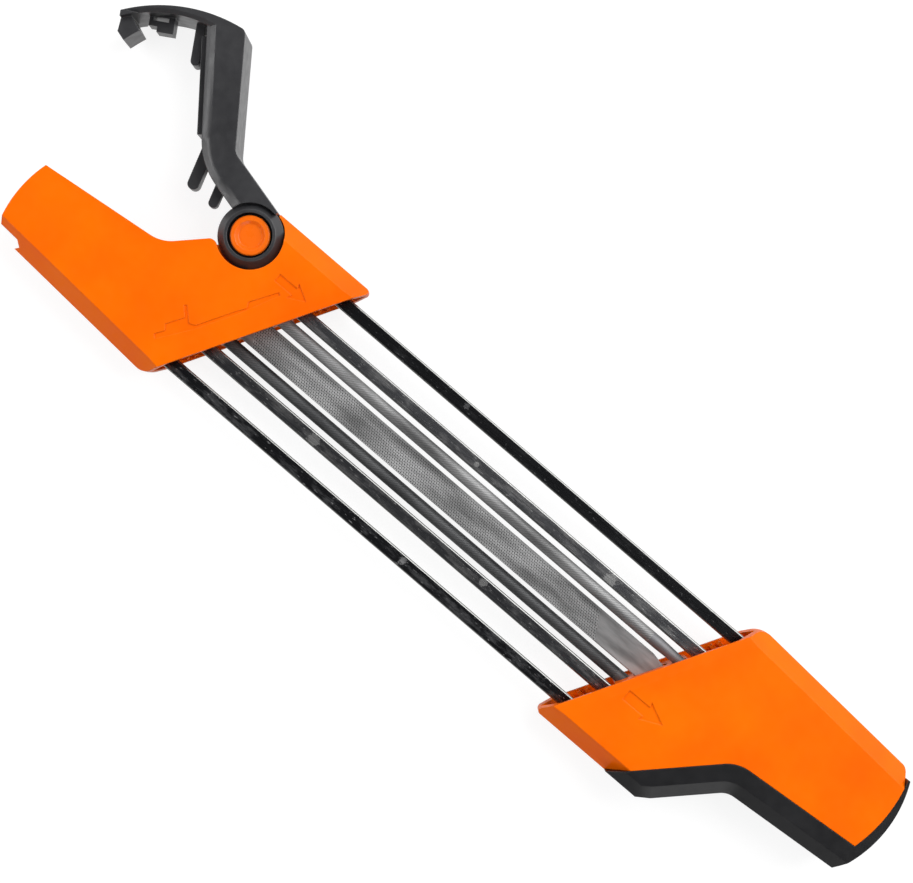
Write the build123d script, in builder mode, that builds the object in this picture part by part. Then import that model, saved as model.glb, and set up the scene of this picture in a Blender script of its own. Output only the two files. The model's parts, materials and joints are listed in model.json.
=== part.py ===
from build123d import *
import os
from math import cos, hypot, radians, sin, tan

# A hand tool that guides the files when a saw chain is sharpened.
# Two parallelogram handles carry four flat guide bars, and between the bars
# lie one flat file and two round files. The tool is turned over for the cutters
# of the other side, so one round file lies low and the other lies high.
# A lever on the front handle swings out, and then the files can be drawn out.
#
# Millimetres. X runs along the files, with the front handle at -X, +Z is up,
# and +Y is the side that the lever opens to. The pieces are drawn about the
# middle of the tool, and written with the origin on the front handle's underside,
# below the line of the flat file.

# Files: their length sets the tool's length
file_length = 240.0
flat_file_back = 38.0       # how far the flat file runs behind the front mouth's middle
flat_file_rear = 12.0       # how far it runs behind the rear mouth's middle
round_file_back = 32.4
flat_file_width = 10.8
flat_file_thickness = 3.2
flat_tang_length = 14.0
flat_tang_width = 5.0
file_edge = 0.3
round_file_radius = 2.4
round_file_y = 9.4
round_file_lift = 2.8
round_tang_length = 21.0
round_tang_radius = 1.5
round_tip = 0.5

# Handles: one form for both ends, the rear one turned half a turn
mouth_angle = 60.0          # between a mouth and the files: the chain is filed at 30 degrees
handle_height = 24.0
handle_half_width = 38.8
handle_wall = 2.4
side_bevel_width = 6.5      # seen from above
side_bevel_depth = 9.0      # seen from the side
mouth_bevel_width = 4.0
mouth_bevel_depth = 0.6
grip_reach = 97.4           # from the mouth's middle to the grip's end
grip_end_lean = 1.9         # how much nearer the far corner of the grip's end lies
grip_end_bulge = 2.6        # crown of the grip's end
grip_near_y = -3.3          # corner of the grip's end on the lever's side
grip_far_y = -34.2          # corner of the grip's end on the other side
grip_edge_angle = 6.8       # of the grip's edge under the lever
slope_angle = 45.0          # of the edge between the grip and the mouth
mouth_far_radius = 6.0
mouth_near_radius = 1.5
grip_corner_radius = 2.5
bend_radius = 14.0
pocket_corner_radius = 2.5  # between the slope's edge and the eye's pocket
rest_back = 25.0            # from the mouth's middle to the origin

# Lever hinge
pivot_back = 24.5           # behind the mouth's middle
pivot_y = 25.5
open_angle = 59.0           # from closed to the open stop
eye_radius = 12.2
eye_rim_radius = 9.5
eye_top = 11.9
eye_shoulder = 8.4          # height where the eye's cone starts
eye_gap = 0.4               # round the eye, to its pocket in the handle
lug_half = 4.0
lug_radius = 11.4
lug_gap = 0.25              # between the lug and each eye, along the axle
pocket_wall = 2.3
pocket_wall_from = -55.0
pocket_wall_to = 77.0
lug_floor_from = -125.0     # from here on the lug is a floor for the eye's pocket
lug_floor_under = 0.35      # how far that floor runs on under the pocket's edge
near_wall_start = 2.5       # where the near side wall starts, past the pivot
stop_gap = 0.2              # between the open lever and the wall that stops it
axle_radius = 6.0
axle_bore = 4.0
axle_half = 6.4
axle_lip_height = 1.2
axle_lip_radius = 3.2
running_gap = 0.05

# Release button, its spring and the cap under it
button_radius = 7.4
button_recess_radius = 8.35
button_recess_floor = 6.8
button_top = 11.0
button_head = 2.0
button_rim = 1.9
button_dish = 1.2
button_edge = 0.4
button_travel = 2.0
collar_length = 4.2
stem_gap = 0.1
cap_neck_radius = 5.5
cap_plug = 1.2              # how far the cap's plug stands into the axle
spring_wire = 0.7
spring_turns = 4.5
spring_side_gap = 0.5

# Lever, drawn closed
lever_gap = 0.4
lever_half = 11.6
lever_plate = 3.2
lever_outer_wall = 2.6
leg_width = 13.1            # from the slope line to the leg's outer face
arm_outer_y = 11.6          # of the arm's outer face at the end of the grip
arm_outer_angle = 4.8
arm_core_inset = 6.0        # from the core's last cell to the grip's end
hook_wall = 3.0
hook_toe_wall = 2.1
hook_crown_lean = 5.2       # how much nearer the lever's side its outer crown lies
hook_corner_radius = 2.5
lever_bend_radius = 28.0
lever_knee_radius = 5.0
lever_chamfer_width = 3.8
lever_chamfer_depth = 2.0
hook_chamfer_width = 1.5
hook_chamfer_depth = 1.2
lever_rib = 1.8
arm_ribs = 3
flange_thickness = 2.8
flange_depth = 2.2          # how far it stands into the handle
flange_half = 6.5
flange_length = 36.0
flange_inset = 3.5          # from the flange to the grip's end
prong_gap = 0.4
prong_angle = 166.5         # from a prong's tip towards its root
prong_root = 9.0            # how far the prongs run on into the lever
prong_block = 11.0          # how far from its bend the lever is solid, to carry the prongs
latch_root = 1.0            # how deep the latch sits in the hook
flat_prong_y = 0.7
flat_prong_width = 4.4
flat_prong_half = 3.0
round_prong_width = 3.6
round_prong_half = 2.0
tongue_reach = 14.4
tongue_y = -6.0
tongue_width = 3.4
tongue_half = 4.0
latch_y = -18.9
latch_width = 6.2
latch_depth = 6.0
latch_foot = 3.2            # how far the latch's foot runs on towards the nose
latch_foot_depth = 4.0
latch_slot = 1.5            # through the latch's foot, beside the hook's wall
latch_slot_length = 5.7
latch_half = 3.5
window_gap = 1.5            # round the latch and the tongue
nose_reach = 6.9            # from the grip's far corner to the nose's inner face
nose_half = 7.6
nose_from = 218.0
nose_to = 222.6
nose_tip = 3.0              # how far the nose's end face stands off the hook's toe
notch_sweep = 13.5          # how far the nose's way through the handle starts before the nose
notch_gap = 0.35
notch_past = 0.6            # how many degrees the notch runs on past the closed nose
catch_wall = 2.3
catch_to = 228.0

# Rear grip insert
insert_gap = 0.15
insert_half = 11.8
insert_chamfer_width = 5.0
insert_chamfer_depth = 4.0
insert_leg_width = 11.3
insert_start = 14.5         # how far its outer face follows the handle's side line
insert_shoulder = 3.2       # how far that face falls off before the leg
insert_knee_radius = 8.0
insert_low_radius = 5.6
insert_hook_wall = 2.4
insert_tip_y = -31.0
insert_lip = 2.4            # how far its lip stands into the handle
insert_lip_start = 4.0      # where the lip starts, before the pivot's place
insert_root = 0.5           # how deep the lip's root sits in the insert
insert_edge_angle = 5.0     # of the rear grip's edge under the insert
insert_near_y = 0.0         # corner of the rear grip's end

# Guide bars
bar_width = 5.2
bar_thickness = 3.0
bar_edge_radius = 0.7
inner_bar_y = 16.2
outer_bar_y = 29.2
bar_embed = 19.5
bar_pin_radius = 1.5
bar_pin_back = 15.5
bar_pin_half = 8.2
boss_radius = 3.3
pin_gap = 0.05

# Locators: the blocks in the mouths that hold files and bars at their pitch
locator_recess = 1.0
locator_depth = 8.0
locator_half_width = 12.3
locator_gap = 0.15
wing_recess = 5.0
wing_depth = 4.0
file_gap = 0.12
bar_gap = 0.1
stop_rib = 2.4
stop_rib_width = 6.0
mouth_rib = 1.6
mouth_rib_height = 3.2

# Places worked out from the sizes above
mouth_span = file_length - flat_file_back - flat_file_rear
half_span = mouth_span / 2
half_height = handle_height / 2
cavity_height = half_height - handle_wall
mouth_slope = 1 / tan(radians(mouth_angle))
pivot_x = -half_span - pivot_back
pivot = (pivot_x, pivot_y)
pivot_axis = Axis((pivot_x, pivot_y, 0), (0, 0, 1))
wall_x = pivot_x + near_wall_start
eye_pocket = eye_radius + eye_gap
leg_angle = 180 + slope_angle
slope_way = (cos(radians(leg_angle)), sin(radians(leg_angle)))
outward_way = (slope_way[1], -slope_way[0])
grip_near_end = (-half_span - grip_reach, grip_near_y)
grip_far_end = (grip_near_end[0] + grip_end_lean, grip_far_y)
bar_rows = (-outer_bar_y, -inner_bar_y, inner_bar_y, outer_bar_y)
notch_from = nose_from - notch_sweep
nose_radius = hypot(grip_far_end[0] - pivot_x, grip_far_end[1] - pivot_y) - nose_reach
stand = Location((half_span + rest_back, 0, half_height))


def mouth_x(y):
    """Where the front handle's mouth lies at a given y."""
    return -half_span + y * mouth_slope


def along_leg(along, out):
    """A plan point from the pivot: along the slope line, and out from it."""
    return (pivot_x + along * slope_way[0] + out * outward_way[0],
            pivot_y + along * slope_way[1] + out * outward_way[1])


def about_pivot(radius, angle):
    """A plan point at a radius and an angle about the pivot."""
    return (pivot_x + radius * cos(radians(angle)), pivot_y + radius * sin(radians(angle)))


def way(angle):
    """The direction of a plan angle."""
    return (cos(radians(angle)), sin(radians(angle)))


def meet(point_a, way_a, point_b, way_b):
    """The plan point where two lines cross."""
    cross = way_a[0] * way_b[1] - way_a[1] * way_b[0]
    gap_x = point_b[0] - point_a[0]
    gap_y = point_b[1] - point_a[1]
    along = (gap_x * way_b[1] - gap_y * way_b[0]) / cross
    return (point_a[0] + along * way_a[0], point_a[1] + along * way_a[1])


def shifted(point, x, y):
    """A plan point moved by x and y."""
    return (point[0] + x, point[1] + y)


def crown(point_a, point_b, bulge):
    """The middle of the grip's end, which bulges along -X."""
    return ((point_a[0] + point_b[0]) / 2 - bulge, (point_a[1] + point_b[1]) / 2)


def bevel_cutter(start, end, width, depth, top, run_on):
    """A wedge that bevels the top edge from start to end, where the outside is on the left."""
    length = hypot(end[0] - start[0], end[1] - start[1])
    ahead = ((end[0] - start[0]) / length, (end[1] - start[1]) / length)
    origin = (start[0] - ahead[0] * run_on, start[1] - ahead[1] * run_on, top)
    plane = Plane(origin=origin, x_dir=(-ahead[1], ahead[0], 0), z_dir=(ahead[0], ahead[1], 0))
    spare = 0.3             # how far the wedge stands past the faces that it cuts, as a share
    with BuildPart() as cutter:
        with BuildSketch(plane):
            with BuildLine():
                Polyline(
                    (-width * (1 + spare), depth * spare),
                    (width * spare, -depth * (1 + spare)),
                    (width * spare, depth * spare),
                    close=True,
                )
            make_face()
        extrude(amount=length + 2 * run_on)
    return cutter.part


def plan_face(points):
    """A closed plan face through the points."""
    with BuildSketch() as face:
        with BuildLine():
            Polyline(*points, close=True)
        make_face()
    return face.sketch


def nearest_corner(sketch, point):
    """The sketch's corner that lies nearest a plan point."""
    return sketch.vertices().sort_by_distance((point[0], point[1], 0))[0]


near_corner = (mouth_x(handle_half_width), handle_half_width)
far_corner = (mouth_x(-handle_half_width), -handle_half_width)
slope_top = meet(pivot, slope_way, near_corner, (1, 0))
grip_edge_way = way(grip_edge_angle)
grip_bend = meet(pivot, slope_way, grip_near_end, grip_edge_way)
rear_near_end = (grip_near_end[0], insert_near_y)
rear_edge_way = way(insert_edge_angle)
rear_bend = meet(pivot, slope_way, rear_near_end, rear_edge_way)
front_side = [(wall_x, handle_half_width), (wall_x, pivot_y), pivot, grip_bend, grip_near_end]
rear_side = [slope_top, rear_bend, rear_near_end]


def handle_plan(side, grow=0.0):
    """A handle's plan, with the given points on its lever side, grown by a margin."""
    near_end = side[-1]
    bend = side[-2]
    with BuildSketch() as plan:
        with BuildLine():
            Polyline(far_corner, near_corner, *side)
            ThreePointArc(near_end, crown(near_end, grip_far_end, grip_end_bulge), grip_far_end)
            Line(grip_far_end, far_corner)
        make_face()
        fillet(nearest_corner(plan, far_corner), mouth_far_radius)
        fillet(nearest_corner(plan, near_corner), mouth_near_radius)
        fillet(nearest_corner(plan, grip_far_end), grip_corner_radius)
        fillet(nearest_corner(plan, bend), bend_radius)
        if grow:
            offset(amount=grow)
    return plan.sketch


def side_bevels(near_y, far_start, far_end, top):
    """The wedges that bevel a handle's near side and its far side."""
    near = bevel_cutter((-2 * grip_reach - half_span, near_y), (0, near_y),
                        side_bevel_width, side_bevel_depth, top, 0)
    far = bevel_cutter(far_end, far_start, side_bevel_width, side_bevel_depth, top, grip_reach)
    return [near, far]


def handle_block(side):
    """The outside of a handle's upper half."""
    with BuildPart() as block:
        add(handle_plan(side))
        extrude(amount=half_height)
        add(side_bevels(handle_half_width, grip_far_end, far_corner, half_height), mode=Mode.SUBTRACT)
        add(bevel_cutter(near_corner, far_corner, mouth_bevel_width, mouth_bevel_depth,
                         half_height, handle_wall), mode=Mode.SUBTRACT)
    return block.part


def cavity(shrink=0.0):
    """The hollow of a handle's upper half, open at the mouth and on the lever's side."""
    past_mouth = 8.0
    near_y = handle_half_width - handle_wall - shrink
    far_y = -near_y
    end_x = grip_near_end[0] + handle_wall
    top = cavity_height - shrink
    far_start = (end_x + grip_end_lean, grip_far_y + handle_wall + shrink)
    far_end = (mouth_x(far_y) + past_mouth, far_y)
    with BuildPart() as hollow:
        add(plan_face([
            far_end,
            (mouth_x(near_y) + past_mouth, near_y),
            (end_x, near_y),
            (end_x, grip_near_y),
            far_start,
        ]))
        extrude(amount=top)
        add(side_bevels(near_y, far_start, far_end, top), mode=Mode.SUBTRACT)
    return hollow.part


def pin_posts(radius, bottom, top):
    """A round post for each bar's pin in the front handle, between two heights."""
    with BuildPart() as posts:
        with BuildSketch(Plane.XY.offset(bottom)):
            with Locations(*[(mouth_x(y) - bar_pin_back, y) for y in bar_rows]):
                Circle(radius)
        extrude(amount=top - bottom)
    return posts.part


def mouth_ribs():
    """The small ribs between each pair of bars, just inside a shell's mouth."""
    length = wing_recess - locator_recess - locator_gap - mouth_rib / 2 * mouth_slope
    pitch = (outer_bar_y - inner_bar_y) / 5
    ys = [side * (inner_bar_y + pitch * step) for side in (-1, 1) for step in (2, 3)]
    with BuildPart() as ribs:
        with BuildSketch(Plane.XY.offset(cavity_height - mouth_rib_height)):
            with Locations(*[(mouth_x(y) - locator_recess - length / 2, y) for y in ys]):
                Rectangle(length, mouth_rib)
        extrude(amount=mouth_rib_height + handle_wall / 2)
    return ribs.part


def stop_ribs(rows, bottom):
    """Ribs across the shell that the files' ends stand against, for rows of (x, y)."""
    with BuildPart() as ribs:
        with BuildSketch(Plane.XY.offset(bottom)):
            with Locations(*[(x - stop_rib / 2, y) for x, y in rows]):
                Rectangle(stop_rib, stop_rib_width)
        extrude(amount=cavity_height - bottom + handle_wall / 2)
    return ribs.part


def catch_wall_part():
    """The curved wall in the grip's far corner that the lever's nose snaps round."""
    outer = nose_radius - notch_gap
    inner = outer - catch_wall
    with BuildPart() as wall:
        add(ring_sector(inner, outer + notch_gap, nose_from, catch_to))
        extrude(amount=cavity_height + handle_wall / 2)
    return wall.part


def ring_sector(inner, outer, start, end):
    """A plan sector of a ring about the pivot."""
    mid = (start + end) / 2
    with BuildSketch() as sector:
        with BuildLine():
            ThreePointArc(about_pivot(inner, start), about_pivot(inner, mid), about_pivot(inner, end))
            Line(about_pivot(inner, end), about_pivot(outer, end))
            ThreePointArc(about_pivot(outer, end), about_pivot(outer, mid), about_pivot(outer, start))
            Line(about_pivot(outer, start), about_pivot(inner, start))
        make_face()
    return sector.sketch


def upper_shell(side):
    """The form that the four shells share: walls, bosses and ribs."""
    with BuildPart() as shell:
        add(handle_block(side))
        add(cavity(), mode=Mode.SUBTRACT)
        add(pin_posts(boss_radius, bar_thickness / 2 + bar_gap, cavity_height + handle_wall / 2))
        add(pin_posts(bar_pin_radius + pin_gap, 0, bar_pin_half + pin_gap), mode=Mode.SUBTRACT)
        add(mouth_ribs())
    return shell.part


def front_shell():
    """A front shell: with the hinge's pocket and lug, the catch and its window."""
    window_low = latch_y - latch_width / 2 - latch_foot - window_gap
    window_half = max(latch_half, tongue_half) + window_gap
    end_x = grip_near_end[0]
    with BuildPart() as shell:
        add(upper_shell(front_side))
        add(catch_wall_part())
        add(ring_sector(eye_pocket, eye_pocket + pocket_wall, pocket_wall_from, pocket_wall_to))
        extrude(amount=cavity_height + handle_wall / 2)
        add(handle_block(front_side), mode=Mode.INTERSECT)
        with BuildSketch():
            with Locations(pivot):
                Circle(eye_pocket)
        extrude(amount=half_height, mode=Mode.SUBTRACT)
        upright = shell.edges().filter_by(Axis.Z)
        fillet(upright.sort_by_distance((*along_leg(eye_pocket, 0), half_height))[0], pocket_corner_radius)
        add(ring_sector(nose_radius - notch_gap, nose_radius + grip_reach / 4, notch_from,
                        nose_to + notch_past))
        extrude(amount=nose_half + notch_gap, mode=Mode.SUBTRACT)
        add(plan_face([
            (end_x - 3 * handle_wall, window_low),
            (end_x + 3 * handle_wall, window_low),
            (end_x + 3 * handle_wall, grip_near_y + handle_wall),
            (end_x - 3 * handle_wall, grip_near_y + handle_wall),
        ]))
        extrude(amount=window_half, mode=Mode.SUBTRACT)
        with BuildSketch():
            with Locations(pivot):
                Circle(lug_radius)
            add(ring_sector(axle_radius, eye_pocket + lug_floor_under, lug_floor_from, pocket_wall_to))
            with Locations(pivot):
                Circle(axle_radius + running_gap, mode=Mode.SUBTRACT)
        extrude(amount=lug_half)
    return shell.part


def placed(part, name):
    """A finished piece, moved to the tool's stand and written under its name."""
    part.label = name
    export_step(stand * part, f"parts/{name}.step")
    finished[name] = part


def half_turned(part):
    """A front piece turned half a turn about the tool's middle, to the rear."""
    return part.rotate(Axis.Z, 180)


finished = {}
os.makedirs("parts", exist_ok=True)

# Where the files' ends lie, in front coordinates at the front and turned ones at the rear
round_front_x = -half_span - round_file_back
flat_front_x = -half_span - flat_file_back
rear_round_x = -(round_front_x + file_length)
rear_flat_x = -(flat_front_x + file_length)
rib_bottom = round_file_lift - round_file_radius

# Handle shells. The lower ones mirror the upper ones, but for the ribs that stop the files.
front_low_stop = stop_ribs([(round_front_x - bar_gap, -round_file_y)], rib_bottom)
rear_high_stops = stop_ribs([(rear_round_x - bar_gap, -round_file_y), (rear_flat_x - bar_gap, 0)],
                            rib_bottom)
rear_low_stops = stop_ribs([(rear_round_x - bar_gap, round_file_y), (rear_flat_x - bar_gap, 0)],
                           rib_bottom)

with BuildPart() as front_handle_upper:
    add(front_shell())
with BuildPart() as front_handle_lower:
    add(front_shell())
    add(front_low_stop)
    mirror(about=Plane.XY, mode=Mode.REPLACE)
with BuildPart() as rear_handle_upper:
    add(half_turned(upper_shell(rear_side)))
    add(half_turned(rear_high_stops))
with BuildPart() as rear_handle_lower:
    add(half_turned(upper_shell(rear_side)))
    add(half_turned(rear_low_stops))
    mirror(about=Plane.XY, mode=Mode.REPLACE)

placed(front_handle_upper.part, "front_handle_upper")
placed(front_handle_lower.part, "front_handle_lower")
placed(rear_handle_upper.part, "rear_handle_upper")
placed(rear_handle_lower.part, "rear_handle_lower")

# Rear grip insert: drawn at the front and turned
insert_arm = (rear_near_end[0], arm_outer_y)
arm_way = way(arm_outer_angle)
insert_knee = meet(along_leg(0, insert_leg_width), slope_way, insert_arm, arm_way)
insert_top = shifted(slope_top, -insert_start, 0)
insert_low = meet(along_leg(0, insert_leg_width), slope_way, (0, handle_half_width - insert_shoulder), (1, 0))
insert_toe = (grip_near_end[0] - insert_gap, insert_tip_y)
insert_lip_bend = meet(along_leg(0, -insert_lip), slope_way,
                       shifted(rear_near_end, 0, -insert_lip), rear_edge_way)


def out_from_slope(edge):
    """How far an edge's middle lies out from the slope line."""
    middle = edge.center()
    return (middle.X - pivot_x) * outward_way[0] + (middle.Y - pivot_y) * outward_way[1]


with BuildPart() as rear_grip_insert:
    with BuildSketch(Plane.XY.offset(-insert_half)) as insert_plan:
        with BuildLine():
            Polyline(slope_top, insert_top, insert_low, insert_knee, insert_arm)
            ThreePointArc(insert_arm, crown(insert_arm, insert_toe, grip_end_bulge + insert_hook_wall),
                          insert_toe)
            Polyline(insert_toe, shifted(insert_toe, 2 * handle_wall, 0),
                     shifted(rear_bend, 0, -handle_wall), slope_top)
        make_face()
        fillet(nearest_corner(insert_plan, insert_knee), insert_knee_radius)
        fillet(nearest_corner(insert_plan, insert_low), insert_low_radius)
    extrude(amount=2 * insert_half)
    for end in rear_grip_insert.faces().filter_by(Plane.XY):
        long_edges = end.edges().filter_by(lambda edge: edge.center().Y > insert_arm[1])
        outer_edges = long_edges.filter_by(lambda edge: out_from_slope(edge) > insert_gap)
        chamfer(outer_edges, length=insert_chamfer_width, length2=insert_chamfer_depth, reference=end)
    with BuildSketch(Plane.XY.offset(-insert_half)):
        add(handle_plan(rear_side, insert_gap))
    extrude(amount=2 * insert_half, mode=Mode.SUBTRACT)
    lip_half = cavity_height - insert_gap
    with BuildSketch(Plane.XY.offset(-lip_half)):
        add(plan_face([
            along_leg(-insert_lip_start, insert_root), along_leg(-insert_lip_start, -insert_lip),
            insert_lip_bend,
            shifted(rear_near_end, handle_wall + insert_gap, -insert_lip),
            shifted(rear_near_end, handle_wall + insert_gap, insert_root),
            shifted(rear_bend, -insert_gap, insert_root),
        ]))
    extrude(amount=2 * lip_half)

placed(half_turned(rear_grip_insert.part), "rear_grip_insert")

# Lever: drawn closed, then swung open to where it stands
lever_end = shifted(grip_near_end, -lever_gap, lever_gap)
lever_far = shifted(grip_far_end, 0, -lever_gap)
lever_bend = meet(along_leg(0, lever_gap), slope_way, lever_end, grip_edge_way)
lever_arm = (lever_end[0], arm_outer_y)
lever_knee = meet(along_leg(0, leg_width), slope_way, lever_arm, arm_way)
hook_inner = crown(grip_near_end, grip_far_end, grip_end_bulge + lever_gap)
hook_outer = shifted(hook_inner, -hook_wall, hook_crown_lean)
hook_toe = shifted(lever_far, -hook_toe_wall, 0)
open_leg = leg_angle - open_angle
shoulder = ((near_wall_start - stop_gap - leg_width * sin(radians(open_leg)))
            / cos(radians(open_leg)))
arm_run = hypot(lever_bend[0] - lever_end[0], lever_bend[1] - lever_end[1])


def arm_point(along, out):
    """A plan point from the arm's end: along its inner edge, and out from it."""
    return (lever_end[0] + along * grip_edge_way[0] - out * grip_edge_way[1],
            lever_end[1] + along * grip_edge_way[1] + out * grip_edge_way[0])


def lever_plan():
    """The leg, the arm and the hook, without the eye."""
    with BuildSketch() as plan:
        with BuildLine():
            Polyline(along_leg(0, lever_gap), along_leg(shoulder, leg_width), lever_knee, lever_arm)
            ThreePointArc(lever_arm, hook_outer, hook_toe)
            Line(hook_toe, lever_far)
            ThreePointArc(lever_far, hook_inner, lever_end)
            Polyline(lever_end, lever_bend, along_leg(0, lever_gap))
        make_face()
        fillet(nearest_corner(plan, lever_arm), hook_corner_radius)
        fillet(nearest_corner(plan, lever_bend), lever_bend_radius)
        fillet(nearest_corner(plan, lever_knee), lever_knee_radius)
    return plan.sketch


def lever_core():
    """The cells between the arm's ribs, in plan, open towards the handle."""
    block_start = arm_run - prong_block
    wall_way = (-grip_edge_way[1], grip_edge_way[0])
    core_end = shifted(lever_arm, arm_core_inset, -lever_outer_wall)
    core_near = meet(arm_point(block_start, 0), wall_way, core_end, arm_way)
    with BuildSketch() as core:
        add(plan_face([
            core_end, core_near, arm_point(block_start, -handle_wall),
            meet(core_end, (0, 1), arm_point(0, -handle_wall), grip_edge_way),
        ]))
        for step in range(arm_ribs):
            share = (step + 1) / (arm_ribs + 1)
            place = arm_point(arm_core_inset + share * (block_start - arm_core_inset), 0)
            with Locations(Location((place[0], place[1], 0), (0, 0, grip_edge_angle))):
                Rectangle(lever_rib, 4 * leg_width, mode=Mode.SUBTRACT)
    return core.sketch


def level_prism(sketch, low, high):
    """A plan face as a solid between two heights."""
    with BuildPart() as prism:
        with BuildSketch(Plane.XY.offset(low)):
            add(sketch)
        extrude(amount=high - low)
    return prism.part


def eye():
    """The lever's upper eye: a cone with a recess for the button."""
    land_low = lug_half + lug_gap
    bore = axle_radius + running_gap
    with BuildPart() as ring:
        with BuildSketch(Plane(origin=(pivot_x, pivot_y, 0), x_dir=(1, 0, 0), z_dir=(0, -1, 0))):
            with BuildLine():
                Polyline(
                    (bore, land_low), (eye_radius, land_low), (eye_radius, eye_shoulder),
                    (eye_rim_radius, eye_top), (button_recess_radius, eye_top),
                    (button_recess_radius, button_recess_floor), (bore, button_recess_floor),
                    close=True,
                )
            make_face()
        revolve(axis=pivot_axis)
    return ring.part


def finger(tip_x, y, width):
    """A prong in plan: its round tip stands at tip_x, and it leans back to the lever's leg."""
    half = width / 2
    middle = (tip_x - half, y)
    lean = way(prong_angle)
    foot = meet(middle, lean, along_leg(0, lever_gap), slope_way)
    root = shifted(foot, prong_root * lean[0], prong_root * lean[1])
    side = (-lean[1] * half, lean[0] * half)
    with BuildSketch() as prong:
        add(plan_face([
            shifted(middle, *side), shifted(root, *side),
            shifted(root, -side[0], -side[1]), shifted(middle, -side[0], -side[1]),
        ]))
        with Locations(middle):
            Circle(half)
    return prong.sketch


def latch():
    """The latch block in plan, with the slot through its foot."""
    root_x = hook_inner[0] - latch_root
    near = latch_y + latch_width / 2
    step = latch_y - latch_width / 2
    far = step - latch_foot
    slot_x = hook_inner[0] + (latch_foot_depth - latch_slot) / 2
    with BuildSketch() as block:
        add(plan_face([
            (root_x, far), (hook_inner[0] + latch_foot_depth, far), (hook_inner[0] + latch_foot_depth, step),
            (hook_inner[0] + latch_depth, step), (hook_inner[0] + latch_depth, near), (root_x, near),
        ]))
        with Locations((slot_x, far + latch_slot + latch_slot_length / 2)):
            Rectangle(latch_slot, latch_slot_length, mode=Mode.SUBTRACT)
    return block.sketch


def nose():
    """The nose at the hook's toe, in plan: it snaps round the catch wall."""
    toe_radius = nose_radius + nose_reach
    mid = (nose_from + nose_to) / 2
    with BuildSketch() as block:
        with BuildLine():
            ThreePointArc(about_pivot(nose_radius, nose_from), about_pivot(nose_radius, mid),
                          about_pivot(nose_radius, nose_to))
            Polyline(about_pivot(nose_radius, nose_to), about_pivot(toe_radius - nose_tip, nose_to),
                     hook_toe, about_pivot(toe_radius, nose_from), about_pivot(nose_radius, nose_from))
        make_face()
    return block.sketch


def tongue():
    """The tongue beside the hook's corner, in plan."""
    half = tongue_width / 2
    tip = (lever_end[0] + tongue_reach - half, tongue_y)
    with BuildSketch() as strip:
        add(plan_face([
            (hook_inner[0], tongue_y - half), (tip[0], tongue_y - half),
            (tip[0], tongue_y + half), (hook_inner[0], tongue_y + half),
        ]))
        with Locations(tip):
            Circle(half)
    return strip.sketch


def lever_fingers():
    """What stands in from the lever: flange, prongs, tongue, latch and nose."""
    flange = plan_face([
        arm_point(flange_inset, -flange_depth), arm_point(flange_inset + flange_length, -flange_depth),
        arm_point(flange_inset + flange_length, flange_thickness - flange_depth),
        arm_point(flange_inset, flange_thickness - flange_depth),
    ])
    flat_prong = finger(flat_front_x - prong_gap, flat_prong_y, flat_prong_width)
    round_prong = finger(round_front_x - prong_gap, round_file_y, round_prong_width)
    return [
        level_prism(flange, -flange_half, flange_half),
        level_prism(flat_prong, -flat_prong_half, flat_prong_half),
        level_prism(round_prong, round_file_lift - round_prong_half, round_file_lift + round_prong_half),
        level_prism(tongue(), -tongue_half, tongue_half),
        level_prism(latch(), -latch_half, latch_half),
        level_prism(nose(), -nose_half, nose_half),
    ]


def nearest_top_edge(part, point):
    """The edge of a part's top face that lies nearest a plan point."""
    top = part.faces().sort_by(Axis.Z)[-1]
    return top.edges().sort_by_distance((*point, lever_half))[0]


def leg_and_arm():
    """The lever's upper half without its hook, bevelled along its inner edge."""
    below = plan_face([
        arm_point(-leg_width, 0), lever_end, shifted(lever_end, 0, -grip_reach),
        shifted(lever_end, -leg_width, -grip_reach),
    ])
    with BuildPart() as body:
        with BuildSketch():
            add(lever_plan())
            add(below, mode=Mode.SUBTRACT)
        extrude(amount=lever_half)
        top = body.faces().sort_by(Axis.Z)[-1]
        edges = [nearest_top_edge(body, point)
                 for point in (along_leg(eye_radius, lever_gap), lever_bend, arm_point(flange_inset, 0))]
        chamfer(edges, length=lever_chamfer_width, length2=lever_chamfer_depth, reference=top)
    return body.part


def hook():
    """The hook's upper half, bevelled along its inner edge."""
    inner_arc = ThreePointArc(lever_far, hook_inner, lever_end)
    middle = inner_arc.arc_center
    with BuildPart() as body:
        with BuildSketch():
            add(lever_plan())
            add(plan_face([
                shifted(lever_end, -leg_width, 2 * leg_width),
                shifted(lever_end, leg_width / 2, 2 * leg_width),
                shifted(lever_end, leg_width / 2, -grip_reach),
                shifted(lever_end, -leg_width, -grip_reach),
            ]), mode=Mode.INTERSECT)
            with Locations((middle.X, middle.Y)):
                Circle(inner_arc.radius, mode=Mode.SUBTRACT)
        extrude(amount=lever_half)
        top = body.faces().sort_by(Axis.Z)[-1]
        chamfer(nearest_top_edge(body, hook_inner), length=hook_chamfer_width, length2=hook_chamfer_depth,
                reference=top)
    return body.part


with BuildPart() as lever:
    add(leg_and_arm())
    add(hook())
    add(level_prism(lever_core(), 0, lever_half - lever_plate), mode=Mode.SUBTRACT)
    with BuildSketch():
        with Locations(pivot):
            Circle(eye_radius - lug_gap)
    extrude(amount=lever_half, mode=Mode.SUBTRACT)
    add(eye())
    mirror(about=Plane.XY)
    add(lever_fingers())

placed(lever.part.rotate(pivot_axis, -open_angle), "lever")

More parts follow.
